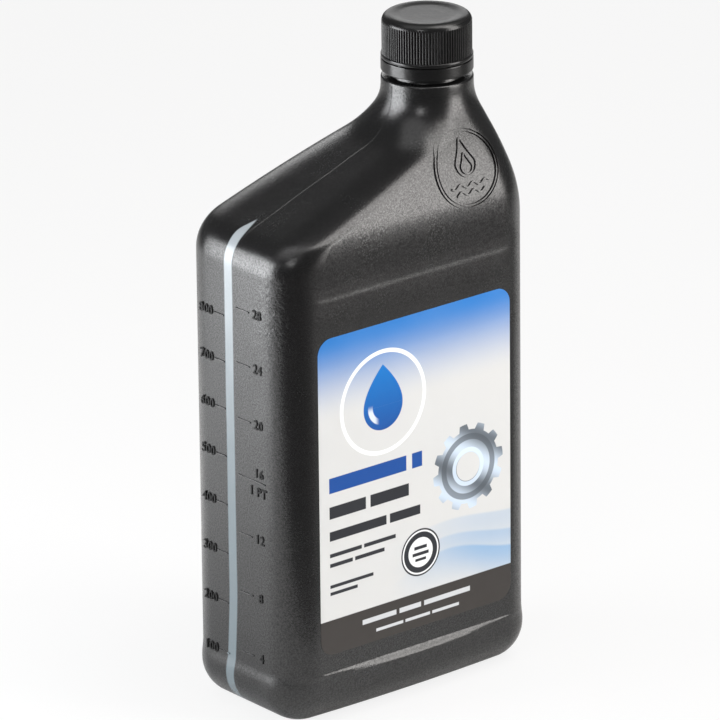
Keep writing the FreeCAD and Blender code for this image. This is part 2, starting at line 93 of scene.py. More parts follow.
class ShellSizes(bpy.types.PropertyGroup):
    """The blown bottle."""

    foot_depth: length("Foot depth", "Foot across the middle of its bowed broad faces", 60.6 * MM)
    foot_fall: length("Foot fall", "How far the foot's broad faces fall back to the corners", 1.415 * MM)
    foot_corner: length("Foot corner", "Plan radius of the foot's upright corners", 14.3 * MM)
    foot_round: length("Foot round", "Radius of the edge between foot and base", 13.4 * MM)
    body_width: length("Body width", "Walls, narrow face to narrow face", 109.4 * MM)
    body_depth: length("Body depth", "Walls, broad face to broad face", 58.4 * MM)
    body_corner: length("Body corner", "Plan radius of the walls' corners", 14.0 * MM)
    skin: length("Skin", "Thickness of the blown wall", 0.9 * MM)
    panel_high: length("Panel top", "Upper edge of the flat label panels", 154.0 * MM)
    panel_sink: length("Panel sink", "How far a panel lies below its broad face", 0.3 * MM)
    wall_top: length("Wall top", "Height where the long slope starts", 162.3 * MM)
    neck_base: length("Neck base", "Height where the shoulder has become round", 208.7 * MM)
    collar_radius: length("Collar radius", "Round collar on top of the shoulder", 15.86 * MM)
    collar_top: length("Collar top", "Ledge under the tamper band", 212.1 * MM)
    finish_radius: length("Finish radius", "Outside of the neck's wall", 12.6 * MM)
    bore_radius: length("Bore radius", "Mouth", 10.75 * MM)
    thread_pitch: length("Thread pitch", "Rise of the neck's thread in one turn", 4.233 * MM)
    thread_depth: length("Thread depth", "How far the thread stands out", 1.15 * MM)


class ShellLooks(bpy.types.PropertyGroup):
    """Colours and finish of the bottle and cap plastic."""

    plastic: colour("Plastic", "Black bottle plastic", (0.0072, 0.0072, 0.0074))
    sheen: share("Roughness", "Roughness of the bottle plastic", 0.25)
    cap: colour("Cap plastic", "Black cap plastic", (0.0060, 0.0060, 0.0062))
    cap_sheen: share("Cap roughness", "Roughness of the cap plastic", 0.24)
    # The stripe's own colour is blue-grey; its lighter top is painted light and its darker foot is painted
    # shade.
    stripe_top: colour("Stripe, top", "View stripe at its upper end", (0.38, 0.415, 0.44))
    stripe_foot: colour("Stripe, foot", "View stripe at its lower end", (0.135, 0.168, 0.186))
    liner: colour("Liner", "Foam of the sealing disc", (0.72, 0.72, 0.69))


class CapSizes(bpy.types.PropertyGroup):
    """The screw cap and its tamper band."""

    ribs: IntProperty(name="Ribs", description="Ribs around the cap", default=96, min=12, max=180)
    rib_sink: length("Rib sink", "Depth of the grooves between the ribs", 0.42 * MM)
    rib_radius: length("Rib radius", "Cap across its rib crests", 15.43 * MM)
    flange_radius: length("Rim radius", "Smooth rim at the open end", (CAP_HIGH.x - CAP_LOW.x) / 2)
    bore: length("Cap bore", "Inside of the cap", 14.1 * MM)
    top_round: length("Top round", "Rounding around the cap's top", 2.6 * MM)
    dish: length("Dish radius", "Dished field on top", 11.6 * MM)
    bridges: IntProperty(name="Bridges", description="Breakable bridges on the tamper band",
                         default=12, min=3, max=40)


class LabelLooks(bpy.types.PropertyGroup):
    """Printed colours of the label."""

    paper: colour("Paper", "Pale ground of the label", (0.68, 0.68, 0.67))
    sky: colour("Sky blue", "Blue at the label's upper edge", (0.006, 0.180, 0.57))
    deep: colour("Deep blue", "Headline blue", (0.012, 0.078, 0.33))
    ink: colour("Ink", "Dark print", (0.030, 0.032, 0.038))
    steel: colour("Steel", "Grey of the gear", (0.30, 0.35, 0.41))
    band: colour("Foot band", "Charcoal band along the lower edge", (0.050, 0.045, 0.042))


class MarkSizes(bpy.types.PropertyGroup):
    """Raised marks on the bottle."""

    relief: length("Relief", "How far marks stand out from the wall", 0.34 * MM)
    parting: length("Parting ridge", "Half-width of the ridge along the mould's parting line", 0.28 * MM)
    digit: length("Digit height", "Height of the scale's numbers", 3.3 * MM)
    badge: length("Badge radius", "Outer radius of the round shoulder mark", 13.8 * MM)


class StageSettings(bpy.types.PropertyGroup):
    """Camera, floor and lamps."""

    azimuth: FloatProperty(name="Azimuth", description="Camera's bearing in degrees", default=-39.42)
    elevation: FloatProperty(name="Elevation", description="Camera's height angle in degrees",
                             default=20.42)
    roll: FloatProperty(name="Roll", description="Camera's roll in degrees", default=-0.614)
    distance: length("Distance", "From the camera to its target", 2.674)
    lens: FloatProperty(name="Lens", description="Focal length in millimetres", default=391.1)
    target_height: length("Target height", "Height that the camera looks at", 0.1155)
    world: FloatProperty(name="World", description="Strength of the surrounding light", default=0.11)


# ---------------------------------------------------------------- mesh helpers

def deselect():
    """Nothing stays selected, so that an operator acts on its own piece alone."""
    if bpy.context.object and bpy.context.object.mode != "OBJECT":
        bpy.ops.object.mode_set(mode="OBJECT")
    bpy.ops.object.select_all(action="DESELECT")


def pick(*pieces):
    """Select these pieces alone. The first is the active one."""
    deselect()
    for piece in pieces:
        piece.select_set(True)
    bpy.context.view_layer.objects.active = pieces[0]


def place_selected(piece, ring):
    """Put each selected vertex at its own point of a ring."""
    mesh = bmesh.from_edit_mesh(piece.data)
    around = mesh.verts.layers.int["around"]
    for vertex in mesh.verts:
        if vertex.select:
            vertex.co = ring[vertex[around]]
    bmesh.update_edit_mesh(piece.data)


def circle_along(name, ring):
    """A circle in edit mode, its vertices numbered and laid along a ring."""
    deselect()
    bpy.ops.mesh.primitive_circle_add(vertices=len(ring), radius=0.01, fill_type="NOTHING")
    piece = bpy.context.active_object
    piece.name = name
    bpy.ops.object.mode_set(mode="EDIT")
    mesh = bmesh.from_edit_mesh(piece.data)
    around = mesh.verts.layers.int.new("around")
    for index, vertex in enumerate(mesh.verts):
        vertex[around] = index
    bmesh.update_edit_mesh(piece.data)
    place_selected(piece, ring)
    return piece


def extrude_along(piece, ring):
    """Extrude the selected edges and lay the new vertices along a ring."""
    bpy.ops.mesh.extrude_edges_move()
    place_selected(piece, ring)


def leave_edit(piece):
    """Back to object mode, without the vertices' numbers."""
    bpy.ops.object.mode_set(mode="OBJECT")
    piece.data.attributes.remove(piece.data.attributes["around"])
    return piece


def rings_of(name, rings, joined=False):
    """A skin grown ring by ring from a circle, its ends joined to each other or each closed."""
    count = len(rings[0])
    piece = circle_along(name, rings[0])
    for ring in rings[1:]:
        extrude_along(piece, ring)
    if joined:
        mesh = bmesh.from_edit_mesh(piece.data)
        for edge in mesh.edges:
            if edge.is_boundary:
                edge.select_set(True)
        bmesh.update_edit_mesh(piece.data)
        bpy.ops.mesh.bridge_edge_loops()
    for ring in () if joined else (len(rings) - 1, 0):
        bpy.ops.mesh.select_all(action="DESELECT")
        mesh = bmesh.from_edit_mesh(piece.data)
        mesh.verts.ensure_lookup_table()
        for vertex in mesh.verts[ring * count:(ring + 1) * count]:
            vertex.select = True
        mesh.select_flush(True)
        bmesh.update_edit_mesh(piece.data)
        bpy.ops.mesh.edge_face_add()
    bpy.ops.mesh.select_all(action="SELECT")
    bpy.ops.mesh.normals_make_consistent(inside=False)
    return leave_edit(piece)


def edit_all(operator, **settings):
    """Run one mesh operator on all of the active piece."""
    bpy.ops.object.mode_set(mode="EDIT")
    bpy.ops.mesh.select_all(action="SELECT")
    operator(**settings)
    bpy.ops.object.mode_set(mode="OBJECT")


def smooth(piece, degrees):
    """Shade smooth, with edges sharper than the angle left hard."""
    pick(piece)
    bpy.ops.object.shade_smooth_by_angle(angle=math.radians(degrees))
    return piece


def apply_all(piece):
    """Apply the piece's modifiers in order."""
    pick(piece)
    for modifier in list(piece.modifiers):
        bpy.ops.object.modifier_apply(modifier=modifier.name)
    return piece


def apply_place(piece):
    """Put the piece's place into its mesh."""
    pick(piece)
    bpy.ops.object.transform_apply(location=True, rotation=True, scale=True)
    return piece


def join(name, pieces):
    """Join pieces into the first."""
    pick(*pieces)
    if len(pieces) > 1:
        bpy.ops.object.join()
    piece = bpy.context.active_object
    piece.name = name
    return piece


def dress(piece, material, body, replaced=None):
    """Give a piece its material, the body it rides on and the node it stands for."""
    piece.data.materials.clear()
    piece.data.materials.append(material)
    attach(piece, body)
    if replaced:
        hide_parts(replaced)
    return piece


def small_block(name, size, bevel, place, turn=0.0):
    """A small block with rounded edges, turned about the upright."""
    deselect()
    bpy.ops.mesh.primitive_cube_add(size=1.0)
    piece = bpy.context.active_object
    piece.name = name
    piece.dimensions = size
    apply_place(piece)
    edit_all(bpy.ops.mesh.bevel, offset=bevel, segments=2, affect="EDGES")
    piece.location = place
    piece.rotation_euler = (0, 0, turn)
    return apply_place(piece)


def turns_of(count):
    """The angles of equal steps around a circle."""
    return [2 * math.pi * step / count for step in range(count)]


def circle_ring(radius, height, count):
    """A ring around the neck's axis."""
    return [Vector((NECK_X + radius * math.cos(turn), radius * math.sin(turn), height))
            for turn in turns_of(count)]


def eased(value):
    """Smooth step from 0 to 1."""
    value = min(1.0, max(0.0, value))
    return value * value * (3 - 2 * value)


# ---------------------------------------------------------------- shader helpers

def operation(name, reflected=False):
    """A method of Term that adds one maths node."""
    def method(self, other):
        return self.graph.maths(name, *((other, self) if reflected else (self, other)))
    return method


class Term:
    """A shader socket that does arithmetic: each operator adds the node it needs."""

    def __init__(self, graph, socket):
        self.graph = graph
        self.socket = socket

    __add__, __radd__ = operation("ADD"), operation("ADD", True)
    __sub__, __rsub__ = operation("SUBTRACT"), operation("SUBTRACT", True)
    __mul__, __rmul__ = operation("MULTIPLY"), operation("MULTIPLY", True)
    __truediv__, __rtruediv__ = operation("DIVIDE"), operation("DIVIDE", True)
    low, high = operation("MINIMUM"), operation("MAXIMUM")

    def __abs__(self):
        return self.graph.maths("ABSOLUTE", self)

    def sine(self):
        return self.graph.maths("SINE", self)

    def root(self):
        return self.graph.maths("SQRT", self.high(0.0))

    def step(self, start, end):
        """0 at start and 1 at end, smooth between, in either order."""
        span = {"From Min": start, "From Max": end, "To Min": 0.0, "To Max": 1.0}
        if start > end:
            span = {"From Min": end, "From Max": start, "To Min": 1.0, "To Max": 0.0}
        found = self.graph.add("ShaderNodeMapRange", {"interpolation_type": "SMOOTHSTEP"},
                               {"Value": self, **span})
        return found["Result"]


class Outputs:
    """A node's output sockets by name, as terms."""

    def __init__(self, graph, node):
        self.graph = graph
        self.node = node

    def __getitem__(self, name):
        return Term(self.graph, self.node.outputs[name])


class Graph:
    """The nodes of one material or world."""

    def __init__(self, owner):
        owner.use_nodes = True
        self.owner = owner
        self.tree = owner.node_tree
        self.tree.nodes.clear()
        self.places = None

    def add(self, kind, settings=None, inputs=None):
        """One node: its type, its settings, then the values or links of its sockets."""
        node = self.tree.nodes.new(kind)
        for key, value in (settings or {}).items():
            setattr(node, key, value)
        for key, value in (inputs or {}).items():
            socket = node.inputs[key]
            if isinstance(value, Term):
                self.tree.links.new(value.socket, socket)
            else:
                socket.default_value = value
        return Outputs(self, node)

    def maths(self, operation, *values):
        found = self.add("ShaderNodeMath", {"operation": operation}, dict(enumerate(values)))
        return found[0]

    def mix(self, factor, low, high):
        """A colour between two colours."""
        inputs = {0: factor, 6: opaque(low), 7: opaque(high)}
        return self.add("ShaderNodeMix", {"data_type": "RGBA"}, inputs)[2]

    def place(self):
        """Object coordinates in millimetres, as x, y and z terms, and the vector itself."""
        if self.places is None:
            where = self.add("ShaderNodeTexCoord")["Object"]
            scaled = self.add("ShaderNodeVectorMath", {"operation": "SCALE"},
                              {"Vector": where, "Scale": 1000.0})["Vector"]
            parts = self.add("ShaderNodeSeparateXYZ", None, {"Vector": scaled})
            self.places = (parts["X"], parts["Y"], parts["Z"], scaled)
        return self.places

    def noise(self, scale, detail=2.0, roughness=0.5, vector=None, distortion=0.0):
        """Noise with a scale in features per millimetre."""
        inputs = {"Vector": vector or self.place()[3], "Scale": scale, "Detail": detail,
                  "Roughness": roughness, "Distortion": distortion}
        return self.add("ShaderNodeTexNoise", {"noise_dimensions": "3D"}, inputs)["Fac"]

    def stretched(self, x, y, z):
        """The place vector with each axis scaled."""
        return self.add("ShaderNodeMapping", {"vector_type": "POINT"},
                        {"Vector": self.place()[3], "Scale": (x, y, z)})["Vector"]

    def surface(self, base, rough, height=None, more=None):
        """The finished material: one Principled shader, with a bump from a height in millimetres."""
        inputs = {"Base Color": base, "Roughness": rough, **(more or {})}
        if height is not None:
            bump = {"Height": height, "Strength": 1.0, "Distance": MM}
            inputs["Normal"] = self.add("ShaderNodeBump", None, bump)["Normal"]
        shader = self.add("ShaderNodeBsdfPrincipled", None, inputs)["BSDF"]
        self.add("ShaderNodeOutputMaterial", None, {"Surface": shader})
        return self.owner


def look(name):
    """The graph of a new material. The frame has plain ones of similar names."""
    return Graph(bpy.data.materials.new(name + "_look"))


def shades(tone, *factors):
    """A colour made darker or lighter."""
    return ([min(1.0, channel * factor) for channel in tone] for factor in factors)


def made(maker, looks):
    """A maker's material, made on the first call."""
    return bpy.data.materials.get(maker.__name__ + "_look") or maker(looks)


def opaque(value):
    """A term as it is, or a colour with full alpha."""
    if isinstance(value, Term):
        return value
    return (*value[:3], 1.0)


# ---------------------------------------------------------------- the bottle's form

QUARTER = (5, 16, 13)
AROUND = 4 * sum(QUARTER)


def spaced(narrow, arc, broad):
    """Shares of the outline at which the points of its features lie, from the +X middle."""
    quarter = []
    for steps, run in zip(QUARTER, (narrow, arc, broad)):
        quarter += [run / steps] * steps
    runs = quarter + quarter[::-1] + quarter + quarter[::-1]
    total = sum(runs)
    shares, walked = [], 0.0
    for run in runs:
        shares.append(walked / total)
        walked += run
    return shares


def rounded_points(west, east, deep, corner, even):
    """Points around a rounded rectangle; even slides them from its features to equal steps."""
    narrow = deep - corner
    broad = (east - west - 2 * corner) / 2
    arc = corner * math.pi / 2
    shares = spaced(narrow, arc, broad)
    total = 4 * (narrow + arc + broad)
    legs = [
        (narrow, (east, 0.0), (0.0, 1.0), None),
        (arc, (east - corner, deep - corner), 0.0, corner),
        (2 * broad, (east - corner, deep), (-1.0, 0.0), None),
        (arc, (west + corner, deep - corner), math.pi / 2, corner),
        (2 * narrow, (west, deep - corner), (0.0, -1.0), None),
        (arc, (west + corner, corner - deep), math.pi, corner),
        (2 * broad, (west + corner, -deep), (1.0, 0.0), None),
        (arc, (east - corner, corner - deep), 1.5 * math.pi, corner),
        (narrow, (east, corner - deep), (0.0, 1.0), None),
    ]
    points = []
    for index, found in enumerate(shares):
        walk = ((1 - even) * found + even * index / AROUND) * total
        for run, start, way, radius in legs:
            if walk <= run + 1e-9:
                break
            walk -= run
        if radius is None:
            points.append((start[0] + way[0] * walk, start[1] + way[1] * walk))
        else:
            angle = way + walk / radius
            points.append((start[0] + radius * math.cos(angle), start[1] + radius * math.sin(angle)))
    return points


def shoulder_outline(wall, start, curve, split, sizes):
    """How far one side of the shoulder reaches from the neck's axis, as a function of height."""
    top, neck = sizes.neck_base, sizes.collar_radius
    rise, drop = top - start, wall - neck
    arcs = curve * (rise ** 2 + drop ** 2) / (2 * drop)
    bend, cove = arcs * split, arcs * (1 - split)
    run = neck + cove - wall + bend
    lean = math.atan2(rise, run) - math.acos((bend + cove) / math.hypot(rise, run))
    bend_end = start + bend * math.sin(lean)
    cove_start = top - cove * math.sin(lean)

    def reach(height):
        if height <= start:
            return wall
        if height <= bend_end:
            return wall - bend + math.sqrt(max(0.0, bend ** 2 - (height - start) ** 2))
        if height <= cove_start:
            return wall - bend * (1 - math.cos(lean)) - (height - bend_end) * math.tan(lean)
        return neck + cove - math.sqrt(max(0.0, cove ** 2 - (top - height) ** 2))

    return reach, lean, bend, bend_end


def shoulder_sides(sizes):
    """The shoulder's outlines: its long slope, its steep side and its broad sides."""
    half, top = sizes.body_width / 2, sizes.wall_top
    return (shoulder_outline(half + NECK_X, top, 0.5887, 0.4054, sizes),
            shoulder_outline(half - NECK_X, top + 2.9 * MM, 0.7831, 0.6926, sizes),
            shoulder_outline(sizes.body_depth / 2, top + 2.0 * MM, 0.98, 0.785, sizes))


# Rings under the base, outside and inside: half length, half width, corner and height in millimetres.
BASE_OUTSIDE = (
    (30, 0.25, 0.2, 2.0), (31, 1.6, 1.2, 2.0), (32.4, 4.2, 2.5, 2.0), (33.8, 7.0, 4.0, 2.0),
    (34.8, 9.6, 5.6, 2.0), (35.3, 10.1, 6.2, 1.85), (36.9, 11.7, 7.8, 0.15), (37.5, 12.3, 7.6, 0.0),
    (39.6, 14.4, 4.5, 0.0))
BASE_INSIDE = ((39.6, 14.4, 4.5, 0.0), (37.5, 12.3, 7.6, 0.15), (35.3, 10.1, 6.2, 2.0),
               (32.4, 4.2, 2.5, 2.0), (30, 0.25, 0.2, 2.0))

# Heights of the walls' rings in millimetres, close together at the foot's step and the panels' edges.
WALLS_OUTSIDE = (
    14.2, 15.2, 16.0, 16.5, 16.8, 17.1, 17.4, 17.7, 18.0, 18.3, 18.6, 18.9, 19.2, 19.5, 19.8, 20.4, 22,
    26, 32, 40, 50, 60, 72, 84, 96, 108, 120, 132, 141, 143, 145, 147, 149, 151, 152.8, 153.1, 153.5,
    153.9, 154.3, 154.7, 155.1, 155.6, 157, 158.5, 160, 161.2, 162.3)
WALLS_INSIDE = (158, 155.4, 152.6, 146, 140, 120, 84, 48, 22, 19.8, 19.0, 18.2, 17.4, 16.6, 15.0)

# The pinch-off channel under the base is part of a lying cylinder.
CHANNEL_RADIUS, CHANNEL_DROP = 26 * MM, 25 * MM


def shell_rings(sizes):
    """The bottle's rings from its base up, over the lip and down inside."""
    half_width = sizes.body_width / 2
    foot_width = CAD_HIGH.x
    foot_depth = sizes.foot_depth / 2
    wall_depth = sizes.body_depth / 2
    chord = foot_width - sizes.foot_corner
    (slope, lean, bend, bend_end), steep, broad = shoulder_sides(sizes)

    def channel(y):
        return max(0.0, math.sqrt(max(0.0, CHANNEL_RADIUS ** 2 - y * y)) - CHANNEL_DROP)

    def base_ring(half_x, half_y, corner, height, skin=0.0):
        points = rounded_points(-half_x, half_x, half_y, corner, 0.0)
        return [Vector((x, y, skin + max(height, channel(y)))) for x, y in points]

    def foot_ring(inset, height, skin=0.0):
        """The foot's section: its broad faces fall back towards the corners."""
        wide, deep = foot_width - inset - skin, foot_depth - inset - skin
        corner = max(0.9 * MM, sizes.foot_corner - inset - skin)
        points = rounded_points(-wide, wide, deep, corner, 0.0)
        ring = []
        for x, y in points:
            y *= 1 - sizes.foot_fall / foot_depth * min(1.0, abs(x) / chord) ** 2
            low = channel(y) + skin if height < 3 * MM + skin else 0.0
            ring.append(Vector((x, y, max(height, low))))
        return ring

    def wall_ring(height, skin=0.0):
        """The walls' section, with the foot's step below and the panels sunk into it."""
        step = eased((height - 13.8 * MM) / (6.4 * MM))
        ledge = eased((height - 16.7 * MM) / (2.9 * MM))
        wide = foot_width + (half_width - foot_width) * step - skin
        deep = foot_depth + (wall_depth - foot_depth) * ledge - skin
        corner = sizes.foot_corner + (sizes.body_corner - sizes.foot_corner) * step - skin
        fall = sizes.foot_fall * (1 - ledge)
        above = (height - sizes.panel_high) / MM
        panel = eased((height - 16.9 * MM) / (2.6 * MM)) * eased((-3.0 - above) / 9.5)
        lip = 0.42 * eased((above + 1.0) / 2.2) * eased((8.0 - above) / 6.0)
        sink = sizes.panel_sink * (panel + lip)
        ring = []
        for x, y in rounded_points(-wide, wide, deep, corner, 0.0):
            y *= 1 - fall / foot_depth * min(1.0, abs(x) / chord) ** 2
            y = math.copysign(min(abs(y), deep - sink), y)
            ring.append(Vector((x, y, height)))
        return ring

    def shoulder_ring(height, skin=0.0):
        """A section between the walls' rounded rectangle and the collar's circle."""
        climb = max(0.0, (height - sizes.wall_top) / (sizes.neck_base - sizes.wall_top))
        corner = sizes.body_corner + (sizes.collar_radius - 0.05 * MM - sizes.body_corner) * climb ** 1.4
        even = eased((climb - 0.1) / 0.85)
        west = NECK_X - slope(height) + skin
        east = NECK_X + steep[0](height) - skin
        deep = broad[0](height) - skin
        corner = min(corner - skin, deep - 0.01 * MM, (east - west) / 2 - 0.01 * MM)
        return [Vector((x, y, height)) for x, y in rounded_points(west, east, deep, corner, even)]

    def edge_ring(share_in, skin=0.0):
        """A step around the edge between base and foot."""
        angle = share_in * math.pi / 2
        radius = sizes.foot_round - skin
        return foot_ring(radius * (1 - math.sin(angle)), skin + radius * (1 - math.cos(angle)), skin)

    rings = [base_ring(*(value * MM for value in row)) for row in BASE_OUTSIDE]
    rings += [edge_ring(step / 14) for step in range(15)]
    rings += [wall_ring(height * MM) for height in WALLS_OUTSIDE]
    rings += [shoulder_ring(sizes.wall_top + bend * math.sin(lean * step / 10)) for step in range(1, 11)]
    height = bend_end
    while height + 1.25 * MM < sizes.neck_base:
        height += 1.1 * MM
        rings.append(shoulder_ring(height))
    rings.append(shoulder_ring(sizes.neck_base))

    # The neck in millimetres: collar, ledge, wall, bead, lip and bore.
    top = sizes.collar_top * 1000
    lip = LIP * 1000
    neck = ((15.86, 209.1), (15.86, top - 0.9), (15.82, top - 0.55), (15.66, top - 0.25),
            (15.4, top - 0.07), (15.1, top), (13.1, top), (12.75, top + 0.1), (12.6, top + 0.45),
            (12.6, top + 2.95), (12.7, top + 3.1), (14.05, top + 3.1), (14.25, top + 3.2),
            (14.3, top + 3.4), (14.2, top + 3.65), (12.75, top + 4.6), (12.6, top + 4.8),
            (12.6, lip - 0.7), (12.5, lip - 0.35), (12.25, lip - 0.1), (12.0, lip), (11.25, lip),
            (10.95, lip - 0.1), (10.78, lip - 0.35), (10.75, lip - 0.8), (10.75, 213.5),
            (10.78, 212.4), (11.2, 211.2), (12.4, 210.2), (14.2, 209.3))
    rings += [circle_ring(radius * MM, up * MM, AROUND) for radius, up in neck]

    skin = sizes.skin
    height = sizes.neck_base
    while height > bend_end:
        rings.append(shoulder_ring(height, skin))
        height -= 2.2 * MM
    for step in range(10, -1, -2):
        rings.append(shoulder_ring(sizes.wall_top + (bend - skin) * math.sin(lean * step / 10), skin))
    rings += [wall_ring(height * MM, skin) for height in WALLS_INSIDE]
    rings += [edge_ring(step / 7, skin) for step in range(7, -1, -1)]
    rings += [base_ring(*(value * MM for value in row), skin) for row in BASE_INSIDE]
    return rings


def neck_thread(sizes):
    """The neck's thread: a small profile swept up a screw, with its ends closed."""
    pitch, turns = sizes.thread_pitch, 1.6
    low = LIP - 3.2 * MM - pitch * turns
    deselect()
    bpy.ops.mesh.primitive_plane_add(size=1.0)
    thread = bpy.context.active_object
    thread.name = "neck_thread"
    inner = sizes.finish_radius - 0.15 * MM
    outer = sizes.finish_radius + sizes.thread_depth
    root, crest = 0.95 * MM, 0.35 * MM
    profile = [(inner, low - root), (outer, low - crest), (outer, low + crest), (inner, low + root)]
    bpy.ops.object.mode_set(mode="EDIT")
    mesh = bmesh.from_edit_mesh(thread.data)
    mesh.verts.ensure_lookup_table()
    for index, place in zip((0, 1, 3, 2), profile):
        mesh.verts[index].co = (place[0], 0.0, place[1])
    bmesh.update_edit_mesh(thread.data)
    bpy.ops.mesh.delete(type="ONLY_FACE")
    bpy.ops.object.mode_set(mode="OBJECT")
    screw = thread.modifiers.new("Turns", "SCREW")
    screw.axis = "Z"
    screw.angle = 2 * math.pi * turns
    screw.screw_offset = pitch * turns
    screw.steps = screw.render_steps = int(72 * turns)
    screw.use_merge_vertices = False
    apply_all(thread)
    bpy.ops.object.mode_set(mode="EDIT")
    bpy.ops.mesh.select_all(action="DESELECT")
    bpy.ops.mesh.select_mode(type="EDGE")
    bpy.ops.mesh.select_non_manifold(extend=False, use_wire=False, use_multi_face=False,
                                     use_non_contiguous=False, use_verts=False)
    bpy.ops.mesh.edge_face_add()
    bpy.ops.mesh.select_mode(type="VERT")
    bpy.ops.mesh.select_all(action="SELECT")
    bpy.ops.mesh.normals_make_consistent(inside=False)
    bpy.ops.object.mode_set(mode="OBJECT")
    thread.location.x = NECK_X
    return apply_place(thread)


# ---------------------------------------------------------------- marks

FACE_TURN = Matrix(((0, 0, -1), (-1, 0, 0), (0, 1, 0))).to_4x4()
FACE_X = -0.0547       # the narrow face with the scale
STRIP_Y = -0.035       # a plane before the front face, from which the shoulder mark is laid on


def on_side(y, z):
    """A placement that lays a drawing on the -X face, its right side towards the front."""
    return Matrix.Translation((FACE_X, y, z)) @ FACE_TURN


def text_mark(name, words, height, matrix, relief):
    """Raised characters: a text made a mesh, then put in place."""
    root = 0.06 * MM
    deselect()
    bpy.ops.object.text_add(location=(0, 0, 0))
    mark = bpy.context.active_object
    mark.name = name
    mark.data.body = words
    mark.data.size = height * 1.38
    mark.data.align_x = "CENTER"
    mark.data.align_y = "CENTER"
    mark.data.extrude = relief / 2 + root
    mark.data.resolution_u = 3
    mark.data.offset = 0.05 * MM
    mark.data.space_character = 1.08
    bpy.ops.object.convert(target="MESH")
    mark = bpy.context.active_object
    mark.matrix_world = matrix @ Matrix.Translation((0, 0, relief / 2 - root))
    return apply_place(mark)


def tick_mark(left, right, height, relief):
    """A raised tick on the -X face between two places across it."""
    deep = relief + 0.1 * MM
    place = (FACE_X - relief + deep / 2, (left + right) / 2, height)
    return small_block("tick", (deep, abs(right - left), 0.45 * MM), 0.07 * MM, place)


def outline_strip(name, points, width, closed):
    """A flat strip along points given across and up, in the plane before the front face."""
    sides = ([], [])
    count = len(points)
    for index, here in enumerate(points):
        before, after = index - 1, index + 1
        if closed:
            after %= count
        else:
            before, after = max(0, before), min(count - 1, after)
        way = (points[after] - points[before]).normalized()
        out = Vector((way.y, -way.x)) * width / 2
        for side, sign in zip(sides, (1, -1)):
            place = here + sign * out
            side.append((place.x, STRIP_Y, place.y))
    strip = circle_along(name, sides[0])
    if not closed:
        bpy.ops.mesh.select_all(action="DESELECT")
        mesh = bmesh.from_edit_mesh(strip.data)
        mesh.verts.ensure_lookup_table()
        first = mesh.verts[0]
        for edge in first.link_edges:
            if edge.other_vert(first).index == count - 1:
                edge.select_set(True)
        bmesh.update_edit_mesh(strip.data)
        bpy.ops.mesh.delete(type="EDGE")
        bpy.ops.mesh.select_all(action="SELECT")
    extrude_along(strip, sides[1])
    return leave_edit(strip)


def resampled(points, spacing, closed):
    """The same line with points at most a spacing apart."""
    found = []
    count = len(points)
    for index in range(count if closed else count - 1):
        start, end = Vector(points[index]), Vector(points[(index + 1) % count])
        steps = max(1, math.ceil((end - start).length / spacing))
        found += [start.lerp(end, step / steps) for step in range(steps)]
    if not closed:
        found.append(Vector(points[-1]))
    return found


def badge_lines(radius):
    """The round shoulder mark: two rings, and a drop over two waves."""
    lines = []
    for ring, width in ((radius - 0.3 * MM, 0.6 * MM), (radius - 1.35 * MM, 0.45 * MM)):
        circle = [(ring * math.cos(turn), ring * 0.96 * math.sin(turn)) for turn in turns_of(96)]
        lines.append((circle, width, True))
    unit = radius / (13.8 * MM)
    for size, lift in ((1.0, 0.0), (0.56, -1.1)):
        drop = []
        for turn in turns_of(64):
            tip = max(0.0, math.sin(turn))
            drop.append((4.3 * size * math.cos(turn) * (1 - 0.62 * tip ** 1.5) * unit * MM,
                         (1.9 + lift + size * (4.3 * math.sin(turn) + 3.6 * tip ** 3)) * unit * MM))
        lines.append((drop, (0.65 if size == 1.0 else 0.45) * MM, True))
    for low, reach in ((-5.2, 8.2), (-7.7, 6.2)):
        wave = [(across * unit * MM, (low + 0.75 * math.sin(across * 1.15)) * unit * MM)
                for across in (reach * (step / 30 - 1) for step in range(61))]
        lines.append((wave, 0.6 * MM, False))
    return lines


# ---------------------------------------------------------------- materials

def stripe_mask(graph):
    """1 on the view stripe of the -X face, which runs over the shoulder's bend to a point."""
    x, y, z, _ = graph.place()
    lean = (1 - z.step(8.0, 45.0)) * 1.7
    wander = graph.noise(0.03, 1.0, vector=graph.stretched(0.0, 0.0, 1.0)) * 0.5 - 0.25
    middle = lean + wander + 2.94
    narrowing = x.step(-40.5, -50.0)
    half = narrowing * 2.05 + 0.06
    inside = (half - abs(y - middle)).step(-0.35, 0.35)
    return inside * x.step(-41.0, -43.5) * z.step(1.2, 3.6)


